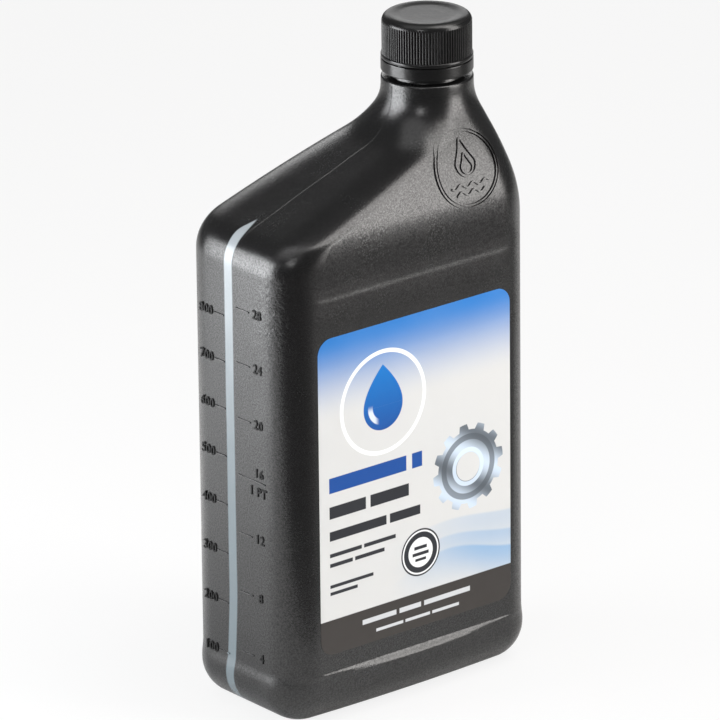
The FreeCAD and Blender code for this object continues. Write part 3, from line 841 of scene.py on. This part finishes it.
def bottle_plastic(looks):
    """Satin black blow-moulded plastic with its view stripe, parting line and grain."""
    graph = look("bottle_plastic")
    x, y, z, _ = graph.place()
    stripe = stripe_mask(graph)
    cloud = graph.noise(0.06, 3.0)
    streaks = graph.noise(0.5, 2.0, vector=graph.stretched(1.0, 1.0, 0.06))
    black = graph.mix(cloud * 0.6 + streaks * 0.4, *shades(looks.plastic, 0.8, 1.3))
    # The view stripe: its own blue-grey, lighter towards the top as painted light and darker towards the
    # foot as painted shade.
    stripe_tone_and_painted_light = graph.mix((z + graph.noise(0.05, 2.0) * 30 - 15).step(75.0, 200.0),
                      looks.stripe_foot, looks.stripe_top)
    base = graph.mix(stripe, black, stripe_tone_and_painted_light)
    grain = graph.noise(1.7, 3.0, 0.6)
    fine = graph.noise(7.0, 1.0)
    corner = x.step(-45.0, -52.0) * z.step(118.0, 150.0) * z.step(172.0, 158.0)
    peel_zone = corner * y.step(-4.0, -14.0) * 0.75 + corner * y.step(10.0, 22.0) * 0.3 + 0.03
    peel = graph.noise(0.42, 2.0, 0.5, distortion=1.4)
    wave = graph.noise(0.035, 2.0, 0.4)
    # The broad walls' slight crown across the bottle's depth, as a parabola in the shading alone.
    bow = y * y * (-1 / 420) * z.step(176.0, 158.0)
    height = (bow + peel * peel_zone * 0.34 + wave * 0.5 + grain * 0.058 + fine * 0.008
              - stripe * 0.03)
    speck = ((grain - 0.5) * 4.0 + 0.5).high(0.0).low(1.0) * 0.65
    rough = looks.sheen + (grain - 0.5) * 0.10 + (cloud - 0.5) * 0.10 - stripe * 0.05
    more = {"IOR": 1.5, "Coat Weight": speck, "Coat Roughness": 0.24}
    return graph.surface(base, rough, height, more)


def marks_plastic(looks):
    """The plastic for raised marks, without the stripe, darker than the bottle's: painted shade on the
    marks.
    """
    graph = look("marks_plastic")
    grain = graph.noise(3.0, 2.0)
    # Painted shade: the marks' plastic is darker than the bottle's.
    black = graph.mix(grain, *shades(looks.plastic, 0.45, 0.75))
    return graph.surface(black, 0.55 + (grain - 0.5) * 0.12, grain * 0.02, {"IOR": 1.38})


def cap_plastic(looks):
    """Injection-moulded cap plastic: smoother than the bottle, with scuffed tone all over."""
    graph = look("cap_plastic")
    grain = graph.noise(1.2, 3.0)
    scuff = graph.noise(0.35, 3.0, 0.7)
    black = graph.mix(scuff, *shades(looks.cap, 0.85, 1.3))
    duller_top = graph.place()[2].step(232.6, 233.2) * 0.12
    rough = looks.cap_sheen + (grain - 0.5) * 0.08 + (scuff - 0.5) * 0.10 + duller_top
    height = graph.noise(0.25, 2.0) * 0.06 + grain * 0.012
    return graph.surface(black, rough, height, {"IOR": 1.49})


def liner_foam(looks):
    """Fine-celled sealing foam."""
    graph = look("liner_foam")
    cells = graph.noise(4.0, 2.0, 0.6)
    pale = graph.mix(cells, *shades(looks.liner, 0.86, 1.0))
    return graph.surface(pale, 0.78 + (cells - 0.5) * 0.15, cells * 0.05, {"IOR": 1.45})


# The label's print in millimetres, as the bottle stands.
GLOW_X, GLOW_Z = -14.0, 112.0
GEAR_X, GEAR_Z, GEAR_RADIUS = 23.5, 79.0, 14.5
SEAL_X, SEAL_Z = 2.0, 53.0
DROP_RADIUS, DROP_HIGH = 8.6, 15.0
HEADLINE = ((-38.0, -4.0, 84.5, 90.0), (-1.5, 3.0, 84.5, 90.0))
PRINT_LINES = (
    (-38.0, -22.0, 75.2, 79.6), (-20.0, -3.0, 75.2, 79.6), (-38.0, -13.0, 67.2, 70.6),
    (-11.5, 2.0, 67.2, 70.6), (-38.0, -24.0, 61.2, 62.6), (-23.0, -9.0, 61.2, 62.6),
    (-38.0, -28.0, 57.6, 59.0), (-27.0, -14.0, 57.6, 59.0), (-38.0, -19.0, 50.0, 51.2),
    (-38.0, -26.0, 47.4, 48.6))
FOOT_LINES = ((-24.0, -9.0, 33.0, 34.8), (-7.6, 2.0, 33.0, 34.8), (3.4, 24.0, 33.0, 34.8),
              (-18.0, -6.0, 29.0, 30.1), (-5.0, 6.0, 29.0, 30.1), (7.0, 19.0, 29.0, 30.1))
SEAL_LINES = tuple((SEAL_X - half, SEAL_X + half, low, high)
                   for low, high, half in ((54.2, 55.4, 2.8), (51.9, 53.1, 3.6), (49.9, 50.9, 2.4)))
SEAL_PALE = (0.90, 0.91, 0.92)
WAVES = ((46.0, 10.0, 0.55), (52.0, 8.0, 0.38), (59.0, 9.0, 0.26))


def label_film(looks):
    """The label's generic print: a drop in a pale halo, bars for lines of text, a gear and waves."""
    graph = look("label_film")
    x, _, z, _ = graph.place()
    ground = graph.mix(z.step(110.0, 140.0), looks.paper, looks.sky)

    def paint(mask, tone):
        nonlocal ground
        ground = graph.mix(mask, ground, tone)

    def away(cx, cz):
        """Distance from a point of the print."""
        dx, dz = x - cx, z - cz
        return (dx * dx + dz * dz).root()

    def within(reach, distance, edge=0.09):
        """1 where a distance is less than a reach, with a soft edge."""
        return (reach - distance).step(-edge, edge)

    def bars(rows, tone):
        for left, right, low, high in rows:
            across = within((right - left) / 2, abs(x - (left + right) / 2))
            paint(across * within((high - low) / 2, abs(z - (low + high) / 2)), tone)

    paint(graph.noise(0.035, 2.0) * 0.10, (0.62, 0.72, 0.84))
    swirl = (x * 0.085 + 0.6).sine() * 4.0 + (x * 0.03).sine() * 3.0
    wave_zone = x.step(-14.0, 34.0)
    for index, (offset, reach, amount) in enumerate(WAVES):
        crest = z - offset - swirl * (1 - index * 0.25)
        sweep = crest.step(0.6, -0.6) * crest.step(-reach * 1.6, -reach * 0.2)
        paint(sweep * wave_zone * amount, (0.10, 0.34, 0.66))

    # Gear: a toothed disc with a hub hole.
    dx, dz = x - GEAR_X, z - GEAR_Z
    distance = away(GEAR_X, GEAR_Z)
    teeth = ((graph.maths("ARCTAN2", dz, dx) * 12.0).sine() * 3.0).high(-1.0).low(1.0)
    body = within(GEAR_RADIUS + teeth * 1.1, distance, 0.12)
    hub = (distance - 5.2).step(-0.12, 0.12)
    sheen = ((dx + dz * 1.6) * 0.21).sine() * 0.5 + 0.5
    groove, dark, bright, glossy = shades(looks.steel, 0.28, 0.45, 2.1, 2.4)
    steel = graph.mix(sheen, dark, bright)
    steel = graph.mix(within(1.1, abs(distance - 10.8), 0.15) * 0.7, steel, groove)
    paint(body * hub, steel)
    paint(within(0.8, abs(distance - 6.2), 0.12) * 0.8, glossy)

    # Drop in a halo: a half circle below, drawn out to a tip above.
    foot_z = GLOW_Z - 1.5
    px, pz = x - GLOW_X, z - foot_z
    taper = 1 - (pz / DROP_HIGH).high(0.0).low(1.0)
    wide = (taper * taper * (3 - 2 * taper)).root() * DROP_RADIUS
    above = within(wide, abs(px), 0.12) * pz.step(-0.1, 0.1) * within(DROP_HIGH, pz, 0.1)
    below = within(DROP_RADIUS, away(GLOW_X, foot_z)) * within(0.1, pz, 0.1)
    paint(within(0.75, abs(away(GLOW_X, GLOW_Z) - 18.2)), (0.93, 0.95, 0.97))
    paint(above.high(below), graph.mix((pz / 24 + 0.45).high(0.0).low(1.0), looks.deep, looks.sky))
    glint = within(1.0, abs(away(GLOW_X, foot_z) - 5.6), 0.2)
    paint(glint * px.step(-1.5, -4.0) * pz.step(1.5, -1.5) * 0.85, (0.86, 0.92, 0.97))

    bars(HEADLINE, looks.deep)
    bars(PRINT_LINES, looks.ink)
    for radius, tone in ((8.6, looks.ink), (8.0, SEAL_PALE), (7.4, looks.ink), (5.4, SEAL_PALE)):
        paint(within(radius, away(SEAL_X, SEAL_Z)), tone)
    bars(SEAL_LINES, looks.ink)
    paint(z.step(38.5, 38.3), looks.band)
    bars(FOOT_LINES, (0.62, 0.64, 0.66))

    fleck = graph.noise(3.0, 2.0)
    height = graph.noise(0.05, 2.0) * 0.5 + fleck * 0.006
    return graph.surface(ground, 0.33 + (fleck - 0.5) * 0.08, height, {"IOR": 1.32})


def floor_white():
    """Pale floor that the camera sees nearly white, with the object's shadow kept."""
    graph = look("floor_white")
    speck = graph.noise(0.01, 2.0)
    pale = graph.mix(speck, (0.78, 0.78, 0.78), (0.82, 0.82, 0.82))
    diffuse = graph.add("ShaderNodeBsdfDiffuse", None, {"Color": pale})["BSDF"]
    seen = graph.add("ShaderNodeLightPath")["Is Camera Ray"]
    white = graph.add("ShaderNodeEmission", None, {"Color": (1, 1, 1, 1), "Strength": 1.0})["Emission"]
    lit = graph.add("ShaderNodeMixShader", None, {0: seen * 0.84, 1: diffuse, 2: white})[0]
    graph.add("ShaderNodeOutputMaterial", None, {"Surface": lit})
    return graph.owner


def card_black():
    """A sheet that only reflections see: painted dark reflection of the near floor, darker on the left than
    on the right.
    """
    graph = look("card_black")
    fibre = graph.noise(0.2, 2.0) * 0.04
    across = graph.place()[0].step(-90.0, 60.0) * 0.96
    black = graph.mix(across + fibre, (0.11, 0.11, 0.11), (0.27, 0.27, 0.27))
    return graph.surface(black, 0.9 + (fibre - 0.5) * 0.1)


# ---------------------------------------------------------------- operators

class OILBOTTLE_OT_shell(bpy.types.Operator):
    """Blown bottle: foot, walls, shoulder, neck and thread, inside and out"""

    bl_idname = "oilbottle.shell"
    bl_label = "Bottle shell"

    def execute(self, context):
        scene = context.scene
        shell = rings_of("bottle_shell", shell_rings(scene.shell_sizes))
        thread = neck_thread(scene.shell_sizes)
        shell = join("bottle_shell", [shell, thread])
        smooth(shell, 32.0)
        dress(shell, made(bottle_plastic, scene.shell_looks), "bottle", "bottle")
        return {"FINISHED"}


class OILBOTTLE_OT_parting(bpy.types.Operator):
    """Parting line: a fine ridge where the two halves of the mould met"""

    bl_idname = "oilbottle.parting"
    bl_label = "Parting line"

    def execute(self, context):
        sizes = context.scene.shell_sizes
        ridge = context.scene.mark_sizes.parting
        slope, steep, _ = (side[0] for side in shoulder_sides(sizes))
        lines = []
        for side, reach, low in ((-1, slope, 170.5), (1, steep, 22.0)):
            heights, height = [], low * MM
            while height < sizes.collar_top - 1.1 * MM:
                heights.append(height)
                height += (0.55 if height > sizes.wall_top else 4.0) * MM
            path = [Vector((NECK_X + side * reach(height), 0.0, height)) for height in heights]
            rings = []
            for index, place in enumerate(path):
                way = (path[min(index + 1, len(path) - 1)] - path[max(index - 1, 0)]).normalized()
                out = Vector((way.z, 0.0, -way.x)) * side
                wander = sum(reach * MM * math.sin(place.z / (wave * MM))
                             for reach, wave in ((0.12, 3.1), (0.08, 1.3)))
                centre = place + Vector((0.0, wander, 0.0)) - out * ridge * 0.55
                rings.append([centre + out * ridge * 0.9 * math.cos(turn)
                              + Vector((0.0, ridge * 1.1 * math.sin(turn), 0.0)) for turn in turns_of(8)])
            lines.append(rings_of("parting", rings))
        parting = smooth(join("parting_line", lines), 60.0)
        dress(parting, made(bottle_plastic, context.scene.shell_looks), "bottle")
        return {"FINISHED"}


class OILBOTTLE_OT_scale(bpy.types.Operator):
    """Raised scale on the -X face: millilitres behind the stripe, ounces before it"""

    bl_idname = "oilbottle.scale"
    bl_label = "Measuring scale"

    def execute(self, context):
        sizes = context.scene.mark_sizes
        relief = sizes.relief
        ticks, marks = [], []

        def words(name, text, y, z):
            marks.append(text_mark(name, text, sizes.digit, on_side(y * MM, z * MM), relief))

        def tick(left, right, z):
            ticks.append(tick_mark(left * MM, right * MM, z * MM, relief))

        for index in range(8):
            z = 20.1 + 17.6 * index + 0.16 * index * (7 - index)
            tick(5.4, 10.9, z)
            words("number", str(100 * (index + 1)), 15.1, z)
        words("unit", "ML", 13.4, 12.8)
        for index in range(7):
            ounces = 4 * (index + 1)
            pint = ounces == 16
            z = 23.4 + 20.77 * index + 0.25 * index * (6 - index)
            tick(-1.0, -15.4 if pint else -8.0, z)
            words("number", str(ounces), -12.2, z + (3.0 if pint else 0.0))
        words("unit", "1 PT", -11.6, 84.2)
        words("unit", "OZ", -12.6, 14.6)
        ticks = smooth(join("scale_ticks", ticks), 30.0)
        dress(ticks, made(bottle_plastic, context.scene.shell_looks), "bottle")
        # The numbers wear the darker plastic: painted shade.
        numbers = smooth(join("scale_numbers", marks), 30.0)
        dress(numbers, marks_plastic(context.scene.shell_looks), "bottle")
        return {"FINISHED"}


class OILBOTTLE_OT_badge(bpy.types.Operator):
    """Round raised mark on the front shoulder: two rings, and a drop over two waves"""

    bl_idname = "oilbottle.badge"
    bl_label = "Shoulder mark"

    def execute(self, context):
        sizes = context.scene.mark_sizes
        shell = bpy.data.objects["bottle_shell"]
        strips = []
        centre_x, centre_z = 26.6 * MM, 185.2 * MM
        for points, width, closed in badge_lines(sizes.badge):
            moved = [(x + centre_x, z + centre_z) for x, z in points]
            strips.append(outline_strip("line", resampled(moved, 0.5 * MM, closed), width, closed))
        badge = join("shoulder_mark", strips)
        wrap = badge.modifiers.new("Lay on shoulder", "SHRINKWRAP")
        wrap.target = shell
        wrap.wrap_method = "PROJECT"
        wrap.use_project_x = wrap.use_project_z = wrap.use_negative_direction = False
        wrap.use_project_y = wrap.use_positive_direction = True
        wall = badge.modifiers.new("Relief", "SOLIDIFY")
        wall.thickness = sizes.relief * 1.9 + 0.1 * MM
        wall.offset = 0.4
        apply_all(badge)
        edit_all(bpy.ops.mesh.normals_make_consistent, inside=False)
        smooth(badge, 40.0)
        dress(badge, made(bottle_plastic, context.scene.shell_looks), "bottle")
        return {"FINISHED"}


class OILBOTTLE_OT_cap(bpy.types.Operator):
    """Ribbed screw cap, inside and out"""

    bl_idname = "oilbottle.cap"
    bl_label = "Screw cap"

    def execute(self, context):
        sizes = context.scene.cap_sizes
        count = sizes.ribs * 8
        low, high = CAP_LOW.z, CAP_HIGH.z
        crest, bore = sizes.rib_radius, sizes.bore
        top = sizes.top_round

        def ring(radius, up, depth=0.0):
            points = []
            for index in range(count):
                off = abs((index / 8.0) % 1.0 - 0.5)
                groove = depth * (0.5 + 0.5 * math.cos(math.pi * min(1.0, off / 0.36)))
                turn = 2 * math.pi * index / count
                reach = radius - groove
                points.append(Vector((NECK_X + reach * math.cos(turn), reach * math.sin(turn), up)))
            return points

        ceiling = low + 13.8 * MM
        rim = sizes.flange_radius
        rings = [ring(0.6 * MM, ceiling), ring(bore - 0.3 * MM, ceiling), ring(bore, ceiling - 0.3 * MM),
                 ring(bore, low + 0.4 * MM), ring(bore + 0.2 * MM, low), ring(rim - 0.2 * MM, low)]
        for radius, up in ((rim - 0.05 * MM, 0.06), (rim, 0.2), (rim, 1.0), (rim - 0.05 * MM, 1.16),
                           (rim - 0.16 * MM, 1.24), (crest + 0.04 * MM, 1.28)):
            rings.append(ring(radius, low + up * MM))
        rib_low, rib_high = low + 1.3 * MM, high - top + 0.35 * MM
        for up, amount in ((0.0, 0.9), (0.08, 1.0), (3.2, 1.0)):
            rings.append(ring(crest, rib_low + up * MM, sizes.rib_sink * amount))
        for down, amount in ((3.2, 1.0), (0.5, 1.0), (0.28, 0.85), (0.12, 0.45), (0.0, 0.0)):
            rings.append(ring(crest, rib_high - down * MM, sizes.rib_sink * amount))
        for step in range(2, 9):
            angle = math.pi / 2 * step / 8
            rings.append(ring(crest - top * (1 - math.cos(angle)), high - top * (1 - math.sin(angle))))
        dish = sizes.dish
        for share_in in (0.02, 0.12, 0.25, 0.4, 0.55, 0.7, 0.85, 1.0):
            rings.append(ring(dish + (0.9 - 3.4 * share_in) * MM, high - 0.4 * MM * eased(share_in)))
        rings += [ring(6.0 * MM, high - 0.42 * MM), ring(0.8 * MM, high - 0.42 * MM)]
        cap = rings_of("screw_cap", rings)
        smooth(cap, 40.0)
        dress(cap, made(cap_plastic, context.scene.shell_looks), "cap", "cap")
        return {"FINISHED"}


class OILBOTTLE_OT_band(bpy.types.Operator):
    """Tamper band with its inner hook and the broken bridges on its upper edge"""

    bl_idname = "oilbottle.band"
    bl_label = "Tamper band"

    def execute(self, context):
        sizes = context.scene.cap_sizes
        low, high = BAND_LOW.z, BAND_HIGH.z
        outer = (BAND_HIGH.x - BAND_LOW.x) / 2
        hook, wall = outer - 2.25 * MM, outer - 1.25 * MM
        # Each point: a wall, millimetres out from it, an edge, millimetres up from it.
        profile = [(side + out * MM, edge + up * MM) for side, out, edge, up in (
            (outer, -0.2, low, 0.0), (outer, -0.05, low, 0.06), (outer, 0.0, low, 0.22),
            (outer, 0.0, low, 0.4), (outer, 0.0, high, -0.4), (outer, 0.0, high, -0.22),
            (outer, -0.05, high, -0.06), (outer, -0.2, high, 0.0), (wall, 0.15, high, 0.0),
            (wall, 0.0, high, -0.15), (wall, 0.0, low, 0.85), (wall, -0.15, low, 0.7),
            (hook, 0.12, low, 0.7), (hook, 0.0, low, 0.58), (hook, 0.0, low, 0.12), (hook, 0.12, low, 0.0))]
        pieces = [rings_of("tamper_ring", [circle_ring(radius, up, 192) for radius, up in profile], True)]
        reach = outer - 0.75 * MM
        for index in range(sizes.bridges):
            turn = 2 * math.pi * (index + 0.4) / sizes.bridges
            place = (NECK_X + reach * math.cos(turn), reach * math.sin(turn), high + 0.07 * MM)
            pieces.append(small_block("bridge", (0.55 * MM, 0.9 * MM, 0.34 * MM), 0.08 * MM, place, turn))
        band = join("tamper_ring", pieces)
        smooth(band, 40.0)
        dress(band, made(cap_plastic, context.scene.shell_looks), "bottle", "tamper_band")
        return {"FINISHED"}


class OILBOTTLE_OT_film(bpy.types.Operator):
    """Finishes for the nodes that stay: printed label and sealing disc"""

    bl_idname = "oilbottle.film"
    bl_label = "Label and liner"

    def execute(self, context):
        scene = context.scene
        for name, material in (("front_label", label_film(scene.label_looks)),
                               ("cap_liner", liner_foam(scene.shell_looks))):
            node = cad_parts[name]
            node.data.materials.clear()
            node.data.materials.append(material)
        return {"FINISHED"}


class OILBOTTLE_OT_stage(bpy.types.Operator):
    """Floor, soft lamps, surrounding light and camera"""

    bl_idname = "oilbottle.stage"
    bl_label = "Studio"

    def lamp(self, name, place, target, size, power, tint, spread=180):
        deselect()
        bpy.ops.object.light_add(type="AREA", location=place)
        lamp = bpy.context.active_object
        lamp.name = name
        lamp.data.shape = "RECTANGLE"
        lamp.data.color = tint
        lamp.data.size, lamp.data.size_y = size
        lamp.data.energy = power
        lamp.data.spread = math.radians(spread)
        lamp.rotation_euler = (Vector(target) - Vector(place)).to_track_quat("-Z", "Y").to_euler()

    def execute(self, context):
        settings = context.scene.stage_settings
        deselect()
        bpy.ops.mesh.primitive_plane_add(size=12.0)
        floor = bpy.context.active_object
        floor.name = "studio_floor"
        floor.data.materials.append(floor_white())

        # A sheet seen only by glossy rays: a painted dark reflection of the near floor.
        deselect()
        bpy.ops.mesh.primitive_plane_add(size=1.0, location=(-0.2, -0.92, 0.0005))
        card = bpy.context.active_object
        card.name = "studio_reflection_shade_card"
        card.scale = (3.0, 1.62, 1.0)
        apply_place(card)
        card.data.materials.append(card_black())
        card.visible_camera = card.visible_shadow = card.visible_diffuse = False

        aim = (0, 0, 0.13)
        warm, plain, cool = (1.0, 0.975, 0.95), (1.0, 1.0, 1.0), (0.965, 0.982, 1.0)
        self.lamp("key_softbox", (0.475, -0.717, 0.621), (0, 0, 0.621), (0.40, 1.22), 9.4, warm)
        self.lamp("key_top", (0.240, -0.355, 1.06), (0, 0, 0.17), (0.60, 0.56), 5.2, warm)
        self.lamp("fill_softbox", (-1.15, -0.775, 0.93), aim, (0.30, 0.30), 2.1, plain)
        self.lamp("side_softbox", (-0.488, 0.268, 0.195), (0.02, 0, 0.195), (0.42, 0.38), 4.3, cool)
        self.lamp("floor_light", (-0.40, 0.24, 0.90), (-0.40, 0.24, 0.0), (0.35, 0.35), 0.5, cool, 45)
        self.lamp("top_softbox", (-0.42, 0.0, 0.95), (-0.42, 0.0, 0.0), (0.85, 0.70), 1.7, plain)
        self.lamp("back_softbox", (0.78, 0.96, 0.55), aim, (0.80, 0.40), 1.85, plain)

        world = bpy.data.worlds.new("studio_world")
        context.scene.world = world
        graph = Graph(world)
        seen = graph.add("ShaderNodeLightPath")["Is Camera Ray"]
        dim, white = (graph.add("ShaderNodeBackground", None,
                                {"Color": (1, 1, 1, 1), "Strength": strength})["Background"]
                      for strength in (settings.world, 1.0))
        lit = graph.add("ShaderNodeMixShader", None, {0: seen, 1: dim, 2: white})[0]
        graph.add("ShaderNodeOutputWorld", None, {"Surface": lit})
        context.scene.view_settings.view_transform = "Standard"

        turn, rise, roll = (math.radians(v) for v in (settings.azimuth, settings.elevation, settings.roll))
        back = Vector((math.sin(turn) * math.cos(rise), -math.cos(turn) * math.cos(rise), math.sin(rise)))
        right = Vector((math.cos(turn), math.sin(turn), 0.0))
        up = back.cross(right)
        level = math.cos(roll) * right + math.sin(roll) * up
        above = -math.sin(roll) * right + math.cos(roll) * up
        deselect()
        bpy.ops.object.camera_add(location=(0, 0, 0))
        camera = bpy.context.active_object
        camera.name = "photo_camera"
        camera.data.sensor_width = 36.0
        camera.data.lens = settings.lens
        camera.data.clip_start, camera.data.clip_end = 0.1, 60.0
        place = Vector((-0.00008, 0.0, settings.target_height)) + back * settings.distance
        turned = Matrix((level, above, back)).transposed().to_4x4()
        camera.matrix_world = Matrix.Translation(place) @ turned
        context.scene.camera = camera
        return {"FINISHED"}


class OILBOTTLE_PT_panel(bpy.types.Panel):
    """Buttons for the bottle's pieces and the studio"""

    bl_label = "Oil Bottle"
    bl_idname = "OILBOTTLE_PT_panel"
    bl_space_type = "VIEW_3D"
    bl_region_type = "UI"
    bl_category = "Oil Bottle"

    def draw(self, context):
        for operator in OPERATORS:
            self.layout.operator(operator.bl_idname)


GROUPS = {
    "shell_sizes": ShellSizes,
    "shell_looks": ShellLooks,
    "cap_sizes": CapSizes,
    "label_looks": LabelLooks,
    "mark_sizes": MarkSizes,
    "stage_settings": StageSettings,
}
OPERATORS = (
    OILBOTTLE_OT_shell,
    OILBOTTLE_OT_parting,
    OILBOTTLE_OT_scale,
    OILBOTTLE_OT_badge,
    OILBOTTLE_OT_cap,
    OILBOTTLE_OT_band,
    OILBOTTLE_OT_film,
    OILBOTTLE_OT_stage,
)


def register():
    for group in GROUPS.values():
        bpy.utils.register_class(group)
    for name, group in GROUPS.items():
        setattr(bpy.types.Scene, name, PointerProperty(type=group))
    for operator in OPERATORS:
        bpy.utils.register_class(operator)
    bpy.utils.register_class(OILBOTTLE_PT_panel)


def unregister():
    bpy.utils.unregister_class(OILBOTTLE_PT_panel)
    for operator in reversed(OPERATORS):
        bpy.utils.unregister_class(operator)
    for name in GROUPS:
        delattr(bpy.types.Scene, name)
    for group in reversed(list(GROUPS.values())):
        bpy.utils.unregister_class(group)


def main():
    register()
    bpy.ops.oilbottle.shell()
    bpy.ops.oilbottle.parting()
    bpy.ops.oilbottle.scale()
    bpy.ops.oilbottle.badge()
    bpy.ops.oilbottle.cap()
    bpy.ops.oilbottle.band()
    bpy.ops.oilbottle.film()
    bpy.ops.oilbottle.stage()


if __name__ == "__main__":
    main()
